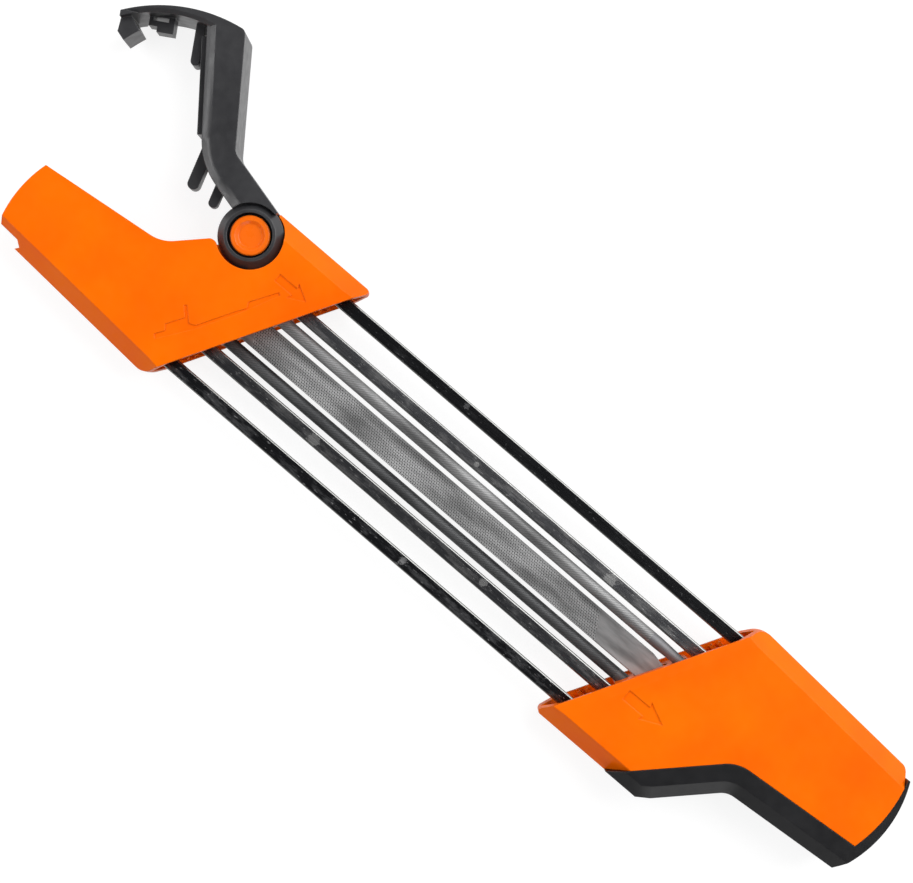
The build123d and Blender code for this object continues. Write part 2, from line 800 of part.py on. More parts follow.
# Axle: fixed in the lugs, with a lip that the button's collar stops under
lip_under = axle_half - axle_lip_height
with BuildPart() as pivot_sleeve:
    with BuildSketch(Plane.XY.offset(-axle_half)):
        with Locations(pivot):
            Circle(axle_radius)
            Circle(axle_bore, mode=Mode.SUBTRACT)
    extrude(amount=2 * axle_half)
    with BuildSketch(Plane.XY.offset(lip_under)):
        with Locations(pivot):
            Circle(axle_radius)
            Circle(axle_lip_radius, mode=Mode.SUBTRACT)
    extrude(amount=axle_lip_height)

placed(pivot_sleeve.part, "pivot_sleeve")


def turned(points):
    """A solid turned about the pivot from a profile of (radius, height)."""
    with BuildPart() as body:
        with BuildSketch(Plane(origin=(pivot_x, pivot_y, 0), x_dir=(1, 0, 0), z_dir=(0, -1, 0))):
            with BuildLine():
                Polyline(*points, close=True)
            make_face()
        revolve(axis=pivot_axis)
    return body.part


stem_radius = axle_lip_radius - stem_gap
collar_radius = axle_bore - stem_gap
collar_top = lip_under - running_gap
spring_top = collar_top - collar_length
dish_radius = button_radius - button_rim
button_under = button_top - button_head

with BuildPart() as release_button:
    add(turned([
        (0, spring_top), (collar_radius, spring_top), (collar_radius, collar_top),
        (stem_radius, collar_top), (stem_radius, button_under), (button_radius, button_under),
        (button_radius, button_top - button_edge), (button_radius - button_edge, button_top),
        (dish_radius, button_top), (dish_radius - button_dish, button_top - button_dish),
        (0, button_top - button_dish),
    ]))

placed(release_button.part, "release_button")

cap_top = cap_plug - axle_half
with BuildPart() as pivot_cap:
    add(turned([
        (0, cap_top), (collar_radius, cap_top), (collar_radius, -axle_half),
        (cap_neck_radius, -axle_half), (cap_neck_radius, -button_under), (button_radius, -button_under),
        (button_radius, button_edge - button_top), (button_radius - button_edge, -button_top),
        (dish_radius, -button_top), (dish_radius - button_dish, button_dish - button_top),
        (0, button_dish - button_top),
    ]))

placed(pivot_cap.part, "pivot_cap")

# Button spring: one wire, each half turn a pair of arcs that climb steadily
spring_radius = axle_bore - spring_side_gap - spring_wire / 2
spring_low = cap_top + spring_wire / 2
spring_high = spring_top - spring_wire / 2
quarter_turns = round(4 * spring_turns)


def spring_point(quarter):
    """A point on the spring's middle line, counted in quarter turns from its foot."""
    angle = 90 * quarter
    height = spring_low + (spring_high - spring_low) * quarter / quarter_turns
    return Vector(pivot_x + spring_radius * cos(radians(angle)),
                  pivot_y + spring_radius * sin(radians(angle)), height)


def spring_way(quarter):
    """The spring's direction at a point."""
    angle = radians(90 * quarter)
    climb = (spring_high - spring_low) / quarter_turns / (radians(90) * spring_radius)
    return Vector(-sin(angle), cos(angle), climb).normalized()


def biarc(start, start_way, end, end_way):
    """Two arcs that join smoothly and meet both directions, as edges."""
    chord = end - start
    both = start_way + end_way
    square = both.dot(both) - 4
    half = chord.dot(both)
    reach = (half - (half * half - square * chord.dot(chord)) ** 0.5) / square
    joint = (start + start_way * reach + end - end_way * reach) * 0.5
    first = Edge.make_tangent_arc(start, start_way, joint)
    second = Edge.make_tangent_arc(joint, first % 1, end)
    return [first, second]


spring_edges = []
for step in range(quarter_turns):
    spring_edges += biarc(spring_point(step), spring_way(step), spring_point(step + 1), spring_way(step + 1))

with BuildPart() as button_spring:
    with BuildLine():
        add(spring_edges)
    with BuildSketch(Plane(origin=spring_point(0), z_dir=spring_way(0))):
        Circle(spring_wire / 2)
    sweep()

spring_pitch = (spring_high - spring_low) / spring_turns
print("spring: least gap between turns", round(spring_pitch - spring_wire, 3))
placed(button_spring.part, "button_spring")

# Guide bars: flat strips with rounded edges, pinned in the handles
with BuildPart() as bar:
    with BuildSketch(Plane.YZ):
        RectangleRounded(bar_width, bar_thickness, bar_edge_radius)
    extrude(amount=mouth_span + 2 * bar_embed)
bar_names = ["guide_bar_outer_far", "guide_bar_inner_far", "guide_bar_inner_lever", "guide_bar_outer_lever"]
for name, y in zip(bar_names, bar_rows):
    front_x = mouth_x(y) - bar_embed
    rear_x = -mouth_x(-y) + bar_embed
    with BuildPart() as guide_bar:
        add(bar.part.moved(Location((front_x, y, 0))))
        with BuildSketch(Plane.XY.offset(-bar_thickness)):
            with Locations((mouth_x(y) - bar_pin_back, y), (-mouth_x(-y) + bar_pin_back, y)):
                Circle(bar_pin_radius + pin_gap)
        extrude(amount=2 * bar_thickness, mode=Mode.SUBTRACT)
    placed(guide_bar.part, name)

with BuildPart() as front_bar_pins:
    add(pin_posts(bar_pin_radius, -bar_pin_half, bar_pin_half))

placed(front_bar_pins.part, "front_bar_pins")
placed(half_turned(front_bar_pins.part), "rear_bar_pins")


# Files
def round_file(side, lift):
    """A round file at a place across the tool, with a tapered tang at the rear."""
    with BuildPart() as file:
        with BuildSketch(Plane(origin=(0, side, lift), x_dir=(1, 0, 0), z_dir=(0, -1, 0))):
            with BuildLine():
                Polyline(
                    (round_front_x, 0), (round_front_x, round_file_radius - round_tip),
                    (round_front_x + round_tip, round_file_radius),
                    (round_front_x + file_length - round_tang_length, round_file_radius),
                    (round_front_x + file_length, round_tang_radius),
                    (round_front_x + file_length, 0),
                    close=True,
                )
            make_face()
        revolve(axis=Axis((0, side, lift), (1, 0, 0)))
    return file.part


placed(round_file(-round_file_y, -round_file_lift), "round_file_lower")
placed(round_file(round_file_y, round_file_lift), "round_file_upper")

flat_half = flat_file_width / 2
flat_rear_x = flat_front_x + file_length
with BuildPart() as flat_file:
    with BuildSketch(Plane.XY.offset(-flat_file_thickness / 2)):
        add(plan_face([
            (flat_front_x, -flat_half), (flat_front_x, flat_half),
            (flat_rear_x - flat_tang_length, flat_half), (flat_rear_x, flat_tang_width / 2),
            (flat_rear_x, -flat_tang_width / 2), (flat_rear_x - flat_tang_length, -flat_half),
        ]))
    extrude(amount=flat_file_thickness)
    chamfer(flat_file.edges().filter_by(Axis.X), length=file_edge)

placed(flat_file.part, "flat_file")

# Locators: the front one, then the same turned for the rear
locator_half = cavity_height - locator_gap


def mouth_strip(front, back, half_width):
    """A plan strip behind the mouth, between two depths."""
    return plan_face([
        (mouth_x(-half_width) - front, -half_width), (mouth_x(half_width) - front, half_width),
        (mouth_x(half_width) - back, half_width), (mouth_x(-half_width) - back, -half_width),
    ])



def locator_block():
    """A locator without its file holes: a core between the files' rows and a wing each side."""
    with BuildPart() as block:
        add(level_prism(mouth_strip(locator_recess, locator_recess + locator_depth, locator_half_width),
                        0, locator_half))
        add(level_prism(mouth_strip(wing_recess, wing_recess + wing_depth, handle_half_width),
                        0, locator_half))
        add(cavity(locator_gap), mode=Mode.INTERSECT)
        mirror(about=Plane.XY)
        with BuildSketch(Plane.XY.offset(-bar_thickness / 2 - bar_gap)):
            with Locations(*[(-half_span, y) for y in bar_rows]):
                Rectangle(mouth_span, bar_width + 2 * bar_gap)
        extrude(amount=half_height, mode=Mode.SUBTRACT)
    return block.part


def file_holes():
    """The three holes that the files slide through, as solids along the whole tool."""
    with BuildPart() as holes:
        with BuildSketch(Plane.YZ.offset(-mouth_span)):
            with Locations((-round_file_y, -round_file_lift), (round_file_y, round_file_lift)):
                Circle(round_file_radius + file_gap)
            Rectangle(flat_file_width + 2 * file_gap, flat_file_thickness + 2 * file_gap)
        extrude(amount=2 * mouth_span)
    return holes.part


with BuildPart() as front_file_locator:
    add(locator_block())
    add(file_holes(), mode=Mode.SUBTRACT)
with BuildPart() as rear_file_locator:
    add(half_turned(locator_block()))
    add(file_holes(), mode=Mode.SUBTRACT)

placed(front_file_locator.part, "front_file_locator")
placed(rear_file_locator.part, "rear_file_locator")
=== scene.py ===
# %% [markdown]
# # A file guide for saw chains, dressed for a close look
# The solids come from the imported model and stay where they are. Here they get
# soft moulded edges, cut teeth on the files, relief on the handles, and finishes.
# Lengths are in metres, because Blender and the solids share one frame.

# %% Load the solids and note their box
import json
from math import cos, pi, radians, sin
import bmesh
import bpy
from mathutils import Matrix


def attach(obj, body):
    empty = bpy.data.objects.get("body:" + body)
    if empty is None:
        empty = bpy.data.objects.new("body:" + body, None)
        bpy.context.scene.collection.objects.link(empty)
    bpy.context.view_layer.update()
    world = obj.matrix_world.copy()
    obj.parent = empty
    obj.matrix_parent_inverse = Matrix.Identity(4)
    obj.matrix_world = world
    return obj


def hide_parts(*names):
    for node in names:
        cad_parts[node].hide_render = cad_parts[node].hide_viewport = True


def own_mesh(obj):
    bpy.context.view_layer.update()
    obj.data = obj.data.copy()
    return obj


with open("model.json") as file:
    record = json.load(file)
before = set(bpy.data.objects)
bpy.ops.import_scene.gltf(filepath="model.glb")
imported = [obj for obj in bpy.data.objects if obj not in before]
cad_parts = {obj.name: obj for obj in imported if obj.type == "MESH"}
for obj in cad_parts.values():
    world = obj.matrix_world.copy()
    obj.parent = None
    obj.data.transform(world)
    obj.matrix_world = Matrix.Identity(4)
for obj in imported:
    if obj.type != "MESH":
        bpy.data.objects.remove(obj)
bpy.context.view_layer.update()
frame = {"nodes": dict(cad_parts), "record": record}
MM = 0.001
behaviour = frame["record"]["behaviour"]
slot_of = {part["node"]: part["material_slot"] for part in frame["record"]["subparts"]}
body_of = {node: body for body, nodes in behaviour["bodies"].items() for node in nodes}

# %% [markdown]
# ## Camera
# The tool lies on a table and is seen from straight above, turned by about 41
# degrees. The picture is 913 pixels wide. A long lens at 0.69 m gives the small
# spread of the walls that such a view has.

# %% Look straight down
picture_width = 913
focal_pixels = 1836
picture_right = radians(40.6)
eye_place = (0.10653, 0.01748, 0.692)
eye = bpy.data.cameras.new("eye")
eye.sensor_width = 36
eye.lens = focal_pixels / picture_width * eye.sensor_width
camera = bpy.data.objects.new("camera", eye)
camera.location = eye_place
camera.rotation_euler = (0, 0, picture_right)
bpy.context.scene.collection.objects.link(camera)
bpy.context.scene.camera = camera
print("lens:", round(eye.lens, 1), "mm")

# %% [markdown]
# ## One helper for every node tree
# Finishes and generated shapes are both node trees. One small function adds a node
# with its settings, and fills each of its inputs with a value or with a link. So
# each tree reads like a recipe, from its first ingredient to its output.

# %% Add a node
def add_node(tree, kind, inputs=None, **settings):
    """A new node. An input takes a value, a socket, or a node, meaning its first output."""
    made = tree.nodes.new(kind)
    for name, value in settings.items():
        setattr(made, name, value)
    for socket, given in (inputs or {}).items():
        if isinstance(given, bpy.types.Node):
            given = given.outputs[0]
        if isinstance(given, bpy.types.NodeSocket):
            tree.links.new(given, made.inputs[socket])
        else:
            made.inputs[socket].default_value = given
    return made


# %% Colours as they are written on screen
def linear(code):
    """An sRGB hex colour as the linear light that a shader takes."""
    levels = [int(code[i:i + 2], 16) / 255 for i in (1, 3, 5)]
    light = [v / 12.92 if v <= 0.04045 else ((v + 0.055) / 1.055) ** 2.4 for v in levels]
    return (*light, 1.0)


print("orange in linear light:", [round(v, 3) for v in linear("#FF7A12")])

# %% [markdown]
# ## Table and light
# A studio table is pale, and soft boxes stand round it while the room above stays
# dim. Flat steel then mirrors the dim ceiling and looks dark, while bevels and
# walls catch the boxes. That is what gives the bars their bright edge lines.
# The table's paint is a mid grey, so that little light comes back up from it. For
# the camera it glows as well, so there it clips to white and still keeps a soft
# shadow. In mirrors it glows a little less, or every low wall would look chalky.

# %% A pale table
white = (1, 1, 1, 1)
table_paint = 0.22
glow_for_camera = 0.86
glow_in_mirrors = 0.74
table_finish = bpy.data.materials.new("painted_table")
table_finish.use_nodes = True
tree = table_finish.node_tree
tree.nodes.clear()
ray = add_node(tree, "ShaderNodeLightPath").outputs
mirrored = add_node(tree, "ShaderNodeMath", {0: ray["Is Glossy Ray"], 1: ray["Is Transmission Ray"]},
                    operation="MAXIMUM")
dimmed = add_node(tree, "ShaderNodeMath", {0: mirrored, 1: glow_in_mirrors}, operation="MULTIPLY")
full = add_node(tree, "ShaderNodeMath", {0: ray["Is Camera Ray"], 1: glow_for_camera}, operation="MULTIPLY")
glow = add_node(tree, "ShaderNodeMath", {0: full, 1: dimmed}, operation="MAXIMUM")
paint = add_node(tree, "ShaderNodeBsdfDiffuse", {"Color": (table_paint, table_paint, table_paint, 1)})
lift = add_node(tree, "ShaderNodeEmission", {"Color": white, "Strength": glow})
both = add_node(tree, "ShaderNodeAddShader", {0: paint, 1: lift})
add_node(tree, "ShaderNodeOutputMaterial", {"Surface": both})

half = 2.5
table_top = -0.2 * MM
table_corners = [(-half, -half, table_top), (half, -half, table_top), (half, half, table_top),
                 (-half, half, table_top)]
table_mesh = bpy.data.meshes.new("table")
table_mesh.from_pydata(table_corners, [], [(0, 1, 2, 3)])
table_mesh.materials.append(table_finish)
table = bpy.data.objects.new("table", table_mesh)
bpy.context.scene.collection.objects.link(table)
print("table:", 2 * half, "m")

# %% The dim room with a bright horizon
horizon_light = (1.0, 1.0, 1.0, 1)
ceiling_light = (0.14, 0.14, 0.145, 1)
ceiling_from = 0.8
window_turn = picture_right + radians(49)
far_side, window_side = 0.35, 1.25
room = bpy.data.worlds.new("room")
room.use_nodes = True
bpy.context.scene.world = room
tree = room.node_tree
tree.nodes.clear()
sky_way = add_node(tree, "ShaderNodeTexCoord").outputs["Generated"]
sky_height = add_node(tree, "ShaderNodeSeparateXYZ", {0: sky_way})
sky_light = add_node(tree, "ShaderNodeValToRGB", {0: sky_height.outputs["Z"]})
horizon, ceiling = sky_light.color_ramp.elements
horizon.position, horizon.color = 0.0, horizon_light
ceiling.position, ceiling.color = ceiling_from, ceiling_light
to_window = add_node(tree, "ShaderNodeVectorMath", {0: sky_way, 1: (cos(window_turn), sin(window_turn), 0)},
                     operation="DOT_PRODUCT")
side_light = add_node(tree, "ShaderNodeMapRange", {"Value": to_window.outputs["Value"], "From Min": -0.9,
                      "From Max": 0.9, "To Min": far_side, "To Max": window_side})
sky = add_node(tree, "ShaderNodeBackground", {"Color": sky_light, "Strength": side_light})
# The camera itself sees plain white past the table, while the tool mirrors the dim room.
backdrop = add_node(tree, "ShaderNodeBackground", {"Color": white, "Strength": 1.0})
ray = add_node(tree, "ShaderNodeLightPath").outputs
room_shader = add_node(tree, "ShaderNodeMixShader", {0: ray["Is Camera Ray"], 1: sky, 2: backdrop})
add_node(tree, "ShaderNodeOutputWorld", {"Surface": room_shader})
print("room: dim above, bright at the horizon and on the window side")

# %% Soft boxes
lit_middle = (0.11, 0.01, 0.0)


def soft_box(name, turn_deg, lift_deg, distance, width, height, watts):
    """A lamp that faces the tool, turned round it from the picture's right and lifted off the table."""
    turn = picture_right + radians(turn_deg)
    lift_angle = radians(lift_deg)
    lamp_data = bpy.data.lights.new(name, "AREA")
    lamp_data.shape = "RECTANGLE"
    lamp_data.size = height
    lamp_data.size_y = width
    lamp_data.energy = watts
    lamp = bpy.data.objects.new(name, lamp_data)
    reach = distance * cos(lift_angle)
    lamp.location = (lit_middle[0] + reach * cos(turn), lit_middle[1] + reach * sin(turn),
                     distance * sin(lift_angle))
    lamp.rotation_euler = (0, pi / 2 - lift_angle, turn)
    bpy.context.scene.collection.objects.link(lamp)


soft_box("key_box", turn_deg=30, lift_deg=45, distance=1.3, width=1.2, height=1.2, watts=17.5)
soft_box("left_strip", turn_deg=172, lift_deg=36, distance=1.4, width=1.5, height=0.38, watts=9.6)
soft_box("low_strip", turn_deg=284, lift_deg=12, distance=1.4, width=1.0, height=0.25, watts=1.9)
print("soft boxes: a key at the upper right, a long strip at the left, a thin one low in front")

# %% [markdown]
# ## Finishes
# Each finish starts from what the real surface is. Moulded plastic takes the fine
# spark-eroded grain of its mould, so it is satin and never quite even. Steel strip
# is rolled and blackened, and rubs bright in flecks. File steel is hardened and
# blasted grey. All patterns use Object coordinates, where one unit is a metre, so a
# pattern that is 0.3 mm wide has a scale of 1 / 0.0003.

# %% Start a finish
def new_finish(name):
    """An empty material with a surface shader, its output and object coordinates."""
    made = bpy.data.materials.new(name)
    made.use_nodes = True
    tree = made.node_tree
    tree.nodes.clear()
    surface = add_node(tree, "ShaderNodeBsdfPrincipled")
    add_node(tree, "ShaderNodeOutputMaterial", {"Surface": surface})
    place = add_node(tree, "ShaderNodeTexCoord").outputs["Object"]
    return made, tree, surface, place


# %% Moulded plastic
drift_mm = 28
flow_mm = 3.5
edge_round_mm = 0.45


def moulded_plastic(name, deep, light, rubbed, roughness, mirror, grain_mm, grain_depth_mm, ior):
    """Injection-moulded plastic: slow colour drift, fine grain, edges that are rubbed and rounded."""
    made, tree, surface, place = new_finish(name)
    surface.inputs["IOR"].default_value = ior
    surface.inputs["Specular IOR Level"].default_value = mirror
    drift = add_node(tree, "ShaderNodeTexNoise", {"Vector": place, "Scale": 1 / (drift_mm * MM),
                     "Detail": 3.0}).outputs["Fac"]
    flow = add_node(tree, "ShaderNodeTexNoise", {"Vector": place, "Scale": 1 / (flow_mm * MM),
                    "Detail": 4.0, "Roughness": 0.6}).outputs["Fac"]
    grain = add_node(tree, "ShaderNodeTexNoise", {"Vector": place, "Scale": 1 / (grain_mm * MM),
                     "Detail": 2.0}).outputs["Fac"]
    shade = add_node(tree, "ShaderNodeMapRange", {"Value": drift, "From Min": 0.3, "From Max": 0.7})
    tone = add_node(tree, "ShaderNodeMix", {"Factor": shade, "A": linear(deep), "B": linear(light)},
                    data_type="RGBA")
    # Where the rounded normal leaves the true one, there is an edge that hands have rubbed.
    rounded = add_node(tree, "ShaderNodeBevel", {"Radius": edge_round_mm * MM}, samples=6)
    true_way = add_node(tree, "ShaderNodeNewGeometry").outputs["Normal"]
    turn = add_node(tree, "ShaderNodeVectorMath", {0: rounded, 1: true_way}, operation="DOT_PRODUCT")
    edge = add_node(tree, "ShaderNodeMapRange", {"Value": turn.outputs["Value"], "From Min": 0.995,
                    "From Max": 0.80})
    wear = add_node(tree, "ShaderNodeMath", {0: edge, 1: flow}, operation="MULTIPLY")
    worn = add_node(tree, "ShaderNodeMix", {"Factor": wear, "A": tone.outputs["Result"],
                    "B": linear(rubbed)}, data_type="RGBA")
    tree.links.new(worn.outputs["Result"], surface.inputs["Base Color"])
    sheen = add_node(tree, "ShaderNodeMapRange", {"Value": flow, "From Min": 0.3, "From Max": 0.7,
                     "To Min": roughness - 0.05, "To Max": roughness + 0.07})
    tree.links.new(sheen.outputs[0], surface.inputs["Roughness"])
    bump = add_node(tree, "ShaderNodeBump", {"Height": grain, "Normal": rounded, "Strength": 0.6,
                    "Distance": grain_depth_mm * MM})
    tree.links.new(bump.outputs[0], surface.inputs["Normal"])
    return made


# Safety-orange ABS: bright and satin. Handles and locators are moulded in it.
# A spark-eroded skin throws most of its mirror light back into itself, so the
# mirror level of the handles is a sixth of that of a polished surface.
orange_abs = moulded_plastic("moulded_orange_abs", deep="#FA6500", light="#FF7300", rubbed="#FF8420",
                             roughness=0.36, mirror=0.08, grain_mm=0.32, grain_depth_mm=0.008, ior=1.54)
# The button is the same plastic from a smoother mould, so it has more gloss.
button_abs = moulded_plastic("polished_orange_abs", deep="#F06202", light="#F87008", rubbed="#FF8A30",
                             roughness=0.28, mirror=0.3, grain_mm=0.5, grain_depth_mm=0.005, ior=1.54)
# Glass-filled nylon, black: fine glass fibres leave a dull, slightly mottled skin.
black_nylon = moulded_plastic("glass_filled_black_nylon", deep="#2A2A2C", light="#363638", rubbed="#606162",
                              roughness=0.34, mirror=0.5, grain_mm=0.26, grain_depth_mm=0.016, ior=1.53)
# The insert of the grip is cut deeper by its mould, so it is duller and darker.
grip_nylon = moulded_plastic("grip_black_nylon", deep="#121214", light="#1D1D1F", rubbed="#4A4B4C",
                             roughness=0.38, mirror=0.34, grain_mm=0.36, grain_depth_mm=0.020, ior=1.53)
print("plastics:", orange_abs.name, button_abs.name, black_nylon.name, grip_nylon.name)


# %% A rubbed mark at one place
bar_top_mm = 13.5


def near(tree, place, x_mm, y_mm, radius_mm, ragged_mm):
    """1 at a place on the bars' top faces and 0 beyond a radius, with a ragged rim."""
    centre = (x_mm * MM, y_mm * MM, bar_top_mm * MM)
    gap = add_node(tree, "ShaderNodeVectorMath", {0: place, 1: centre}, operation="DISTANCE")
    wavy = add_node(tree, "ShaderNodeMath", {0: gap.outputs["Value"], 1: ragged_mm * MM}, operation="ADD")
    frayed = add_node(tree, "ShaderNodeTexNoise", {"Vector": place, "Scale": 1 / (0.7 * MM), "Detail": 3.0})
    shaken = add_node(tree, "ShaderNodeMath", {0: frayed.outputs["Fac"], 1: -2 * ragged_mm * MM, 2: wavy},
                      operation="MULTIPLY_ADD")
    return add_node(tree, "ShaderNodeMapRange", {"Value": shaken, "From Min": radius_mm * MM,
                    "From Max": 0.75 * radius_mm * MM})


# %% Blackened steel strip
rubbed_from_mm, rubbed_full_mm = 1.95, 2.15


def blackened_strip(name, line_mm, dark, pale, fleck, patches, marks):
    """Rolled spring-steel strip, blackened: cloudy oxide, rolling lines, flecks, edges rubbed bright."""
    made, tree, surface, place = new_finish(name)
    surface.inputs["Metallic"].default_value = 1.0
    stretched = add_node(tree, "ShaderNodeMapping", {"Vector": place, "Scale": (0.3, 1, 1)})
    cloud = add_node(tree, "ShaderNodeTexNoise", {"Vector": stretched, "Scale": 1 / (3.2 * MM),
                     "Detail": 7.0, "Roughness": 0.7}).outputs["Fac"]
    patch = add_node(tree, "ShaderNodeMapRange", {"Value": cloud, "From Min": 0.50 - patches,
                     "From Max": 0.64 - patches})
    tone = add_node(tree, "ShaderNodeMix", {"Factor": patch, "A": linear(dark), "B": linear(pale)},
                    data_type="RGBA")
    speck = add_node(tree, "ShaderNodeTexNoise", {"Vector": stretched, "Scale": 1 / (0.75 * MM),
                     "Detail": 3.0})
    bright = add_node(tree, "ShaderNodeMapRange", {"Value": speck.outputs["Fac"], "From Min": 0.64,
                      "From Max": 0.70})
    for mark in marks:
        marked = near(tree, place, *mark)
        bright = add_node(tree, "ShaderNodeMath", {0: bright, 1: marked}, operation="MAXIMUM")
    flecked = add_node(tree, "ShaderNodeMix", {"Factor": bright, "A": tone.outputs["Result"],
                       "B": linear(fleck)}, data_type="RGBA")
    # The two long edges of a bar are rubbed bright, at one distance from its middle line.
    spot = add_node(tree, "ShaderNodeSeparateXYZ", {0: place})
    off = add_node(tree, "ShaderNodeMath", {0: spot.outputs["Y"], 1: line_mm * MM}, operation="SUBTRACT")
    off = add_node(tree, "ShaderNodeMath", {0: off}, operation="ABSOLUTE")
    rub = add_node(tree, "ShaderNodeMapRange", {"Value": off, "From Min": rubbed_from_mm * MM,
                   "From Max": rubbed_full_mm * MM})
    rubbed = add_node(tree, "ShaderNodeMix", {"Factor": rub, "A": flecked.outputs["Result"],
                      "B": linear("#8E8E8C")}, data_type="RGBA")
    tree.links.new(rubbed.outputs["Result"], surface.inputs["Base Color"])
    drawn = add_node(tree, "ShaderNodeMapping", {"Vector": place, "Scale": (0.02, 1, 1)})
    lines = add_node(tree, "ShaderNodeTexNoise", {"Vector": drawn, "Scale": 1 / (0.35 * MM),
                     "Detail": 3.0}).outputs["Fac"]
    gloss = add_node(tree, "ShaderNodeMapRange", {"Value": lines, "To Min": 0.18, "To Max": 0.38})
    tree.links.new(gloss.outputs[0], surface.inputs["Roughness"])
    bump = add_node(tree, "ShaderNodeBump", {"Height": lines, "Strength": 0.5, "Distance": 0.010 * MM})
    pits = add_node(tree, "ShaderNodeBump", {"Height": cloud, "Normal": bump, "Strength": 0.5,
                    "Distance": 0.03 * MM})
    tree.links.new(pits.outputs[0], surface.inputs["Normal"])
    return made


# Each mark is a place along the bar, its place across, its size and how ragged it is.
bar_finish = {
    "guide_bar_outer_lever": blackened_strip(
        "blackened_strip_deep", line_mm=29.2, dark="#38393B", pale="#505153", fleck="#8C8D8E",
        patches=-0.04, marks=[(100.9, 29.8, 1.3, 1.1)]),
    "guide_bar_inner_lever": blackened_strip(
        "blackened_strip_cloudy", line_mm=16.2, dark="#7E7F82", pale="#B4B4B4", fleck="#E4E4E2",
        patches=0.03, marks=[(117.7, 15.9, 1.1, 0.1), (182.8, 15.4, 3.0, 2.4)]),
    "guide_bar_inner_far": blackened_strip(
        "blackened_strip_worn", line_mm=-16.2, dark="#66676A", pale="#9C9C9C", fleck="#DADAD8",
        patches=0.05, marks=[(66.0, -16.4, 2.6, 2.0), (148.0, -15.6, 1.8, 1.4)]),
    "guide_bar_outer_far": blackened_strip(
        "blackened_strip_flecked", line_mm=-29.2, dark="#3E3F42", pale="#8A8B8D", fleck="#E0E0E0",
        patches=0.0, marks=[(120.0, -29.0, 1.5, 1.4)]),
}
print("bars:", [finish.name for finish in bar_finish.values()])


# %% File steel
def file_steel(name, crest, floor, plain, seed):
    """Hardened carbon steel, blasted grey: the floors of the cuts are painted darker than the crests, as
    painted shade, and soot lies in clouds along it.
    """
    made, tree, surface, place = new_finish(name)
    surface.inputs["Metallic"].default_value = 1.0
    depth = add_node(tree, "ShaderNodeAttribute", attribute_name="cut_depth").outputs["Fac"]
    toothed = add_node(tree, "ShaderNodeAttribute", attribute_name="toothed").outputs["Fac"]
    # Painted shade: the deeper a point lies in a cut, the nearer its colour goes to the dark floor colour,
    # so the crests stand out light.
    cut = add_node(tree, "ShaderNodeMix", {"Factor": depth, "A": linear(crest), "B": linear(floor)},
                   data_type="RGBA")
    bare = add_node(tree, "ShaderNodeMix", {"Factor": toothed, "A": linear(plain),
                    "B": cut.outputs["Result"]}, data_type="RGBA")
    shifted = add_node(tree, "ShaderNodeMapping", {"Vector": place, "Location": (seed, 0, 0),
                       "Scale": (0.18, 1, 1)})
    cloud = add_node(tree, "ShaderNodeTexNoise", {"Vector": shifted, "Scale": 1 / (5 * MM), "Detail": 4.0})
    soot = add_node(tree, "ShaderNodeMapRange", {"Value": cloud.outputs["Fac"], "From Min": 0.40,
                    "From Max": 0.66, "To Min": 0.0, "To Max": 0.55})
    dusky = add_node(tree, "ShaderNodeMix", {"Factor": soot, "A": bare.outputs["Result"],
                     "B": linear(floor)}, data_type="RGBA")
    tree.links.new(dusky.outputs["Result"], surface.inputs["Base Color"])
    fine = add_node(tree, "ShaderNodeTexNoise", {"Vector": place, "Scale": 1 / (0.2 * MM),
                    "Detail": 2.0}).outputs["Fac"]
    matt = add_node(tree, "ShaderNodeMapRange", {"Value": fine, "To Min": 0.58, "To Max": 0.74})
    tree.links.new(matt.outputs[0], surface.inputs["Roughness"])
    bump = add_node(tree, "ShaderNodeBump", {"Height": fine, "Strength": 0.5, "Distance": 0.012 * MM})
    tree.links.new(bump.outputs[0], surface.inputs["Normal"])
    return made


pale_file = file_steel("file_steel_pale", crest="#BCBCBC", floor="#2C2C2C", plain="#8E8E90", seed=0.0)
# The lower round file is the same steel as the upper one, painted darker all over: painted shade where the
# bar and the flat file beside it shade it.
painted_shade_file = file_steel("file_steel_painted_shade", crest="#7A7B7C", floor="#262628", plain="#727476", seed=0.4)
flat_finish = file_steel("file_steel_flat", crest="#ECECEC", floor="#202020", plain="#ACACAC", seed=0.9)
print("files:", pale_file.name, painted_shade_file.name, flat_finish.name)


# %% Turned steel and spring wire
def lined_steel(name, colour, stretch, line_mm, roughness):
    """Bright machined steel with fine tool lines across or along it."""
    made, tree, surface, place = new_finish(name)
    surface.inputs["Metallic"].default_value = 1.0
    drawn = add_node(tree, "ShaderNodeMapping", {"Vector": place, "Scale": stretch})
    lines = add_node(tree, "ShaderNodeTexNoise", {"Vector": drawn, "Scale": 1 / (line_mm * MM),
                     "Detail": 3.0}).outputs["Fac"]
    tone = add_node(tree, "ShaderNodeMix", {"Factor": lines, "A": linear(colour), "B": linear("#8F9092")},
                    data_type="RGBA")
    tree.links.new(tone.outputs["Result"], surface.inputs["Base Color"])
    gloss = add_node(tree, "ShaderNodeMapRange", {"Value": lines, "To Min": roughness - 0.08,
                     "To Max": roughness + 0.08})
    tree.links.new(gloss.outputs[0], surface.inputs["Roughness"])
    bump = add_node(tree, "ShaderNodeBump", {"Height": lines, "Strength": 0.5, "Distance": 0.006 * MM})
    tree.links.new(bump.outputs[0], surface.inputs["Normal"])
    return made


turned_steel = lined_steel("turned_free_cutting_steel", "#D0D1D3", stretch=(0.05, 0.05, 1), line_mm=0.12,
                           roughness=0.30)
spring_wire = lined_steel("drawn_spring_wire", "#B4B5B8", stretch=(1, 1, 0.1), line_mm=0.15, roughness=0.34)
finish_of = {
    "orange_plastic": orange_abs, "orange_button": button_abs, "black_plastic": black_nylon,
    "turned_steel": turned_steel, "spring_steel": spring_wire,
}
print("finishes by slot:", sorted(finish_of))

